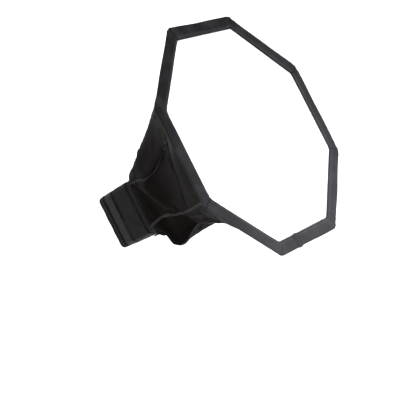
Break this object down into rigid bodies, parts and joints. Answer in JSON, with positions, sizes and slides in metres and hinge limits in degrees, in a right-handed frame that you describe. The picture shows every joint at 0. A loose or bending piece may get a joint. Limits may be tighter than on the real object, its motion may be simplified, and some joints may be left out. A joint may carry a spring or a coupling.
{
  "type": "octabox",
  "caption": "Small folding octagonal softbox with a fabric cone, a white diffuser and a strapped collar that grips the head of a hand flash.",
  "frame": {"origin": "centre of the collar's rear mouth, where the flash head goes in", "axes": "+Z along the light's axis from the collar to the diffuser, +X along the collar's wide side, +Y along its narrow side; the octagon has flats facing +X and +Y"},
  "size_m": [0.2038, 0.2038, 0.1577],
  "materials": {
    "binding": "dark woven binding tape",
    "strip": "flat plastic strip",
    "nylon": "matte black coated nylon",
    "lining": "silver coated lining",
    "diffuser": "white translucent cloth",
    "webbing": "black woven webbing",
    "elastic": "ribbed black elastic",
    "loop": "napped loop tape",
    "hook": "hook tape",
    "grip": "ribbed rubber"
  },
  "bodies": {
    "collar": {"collar_sleeve": "nylon", "collar_hem_rear": "webbing", "collar_hem_front": "webbing", "elastic_band": "elastic", "closing_band": "webbing", "loop_patch": "loop", "strap_anchor": "webbing", "grip_pad_1": "grip", "grip_pad_2": "grip", "fold_tape_1": "binding", "fold_tape_2": "binding", "cone_panel_1": "nylon", "cone_panel_2": "nylon", "cone_panel_3": "nylon", "cone_panel_4": "nylon", "cone_panel_5": "nylon", "cone_panel_6": "nylon", "cone_panel_7": "nylon", "cone_panel_8": "nylon", "lining_1": "lining", "lining_2": "lining", "lining_3": "lining", "lining_4": "lining", "lining_5": "lining", "lining_6": "lining", "lining_7": "lining", "lining_8": "lining"},
    "frame_upper": {"rim_sleeve_1": "binding", "rim_sleeve_2": "binding", "rim_sleeve_3": "binding", "rim_sleeve_4": "binding", "rim_strip_1": "strip", "rim_strip_2": "strip", "rim_strip_3": "strip", "rim_strip_4": "strip", "corner_tape_1": "binding", "corner_tape_2": "binding", "corner_tape_3": "binding", "diffuser_upper": "diffuser"},
    "frame_lower": {"rim_sleeve_5": "binding", "rim_sleeve_6": "binding", "rim_sleeve_7": "binding", "rim_sleeve_8": "binding", "rim_strip_5": "strip", "rim_strip_6": "strip", "rim_strip_7": "strip", "rim_strip_8": "strip", "corner_tape_5": "binding", "corner_tape_6": "binding", "corner_tape_7": "binding", "binding_overlap": "binding", "diffuser_lower": "diffuser"},
    "tongue": {"strap_tongue": "webbing", "hook_patch": "hook"}
  },
  "joints": [
    {"name": "fold_upper", "type": "hinge", "parent": "collar", "child": "frame_upper", "pos_m": [0, 0.01, 0.155], "axis": [-0.9239, 0.3827, 0], "range_deg": [0, 80], "deforming": ["cone_panel_1", "lining_1", "cone_panel_2", "lining_2", "cone_panel_3", "lining_3", "cone_panel_4", "lining_4", "fold_tape_1", "fold_tape_2"]},
    {"name": "fold_lower", "type": "hinge", "parent": "collar", "child": "frame_lower", "pos_m": [0, 0.01, 0.155], "axis": [-0.9239, 0.3827, 0], "range_deg": [-80, 0], "deforming": ["cone_panel_5", "lining_5", "cone_panel_6", "lining_6", "cone_panel_7", "lining_7", "cone_panel_8", "lining_8"]},
    {"name": "strap_peel", "type": "hinge", "parent": "collar", "child": "tongue", "pos_m": [0.012, -0.0276, 0.028], "axis": [0, 0, 1], "range_deg": [0, 110]}
  ],
  "couplings": [
    {"joint": "fold_lower", "follows": "fold_upper", "ratio": -1}
  ]
}
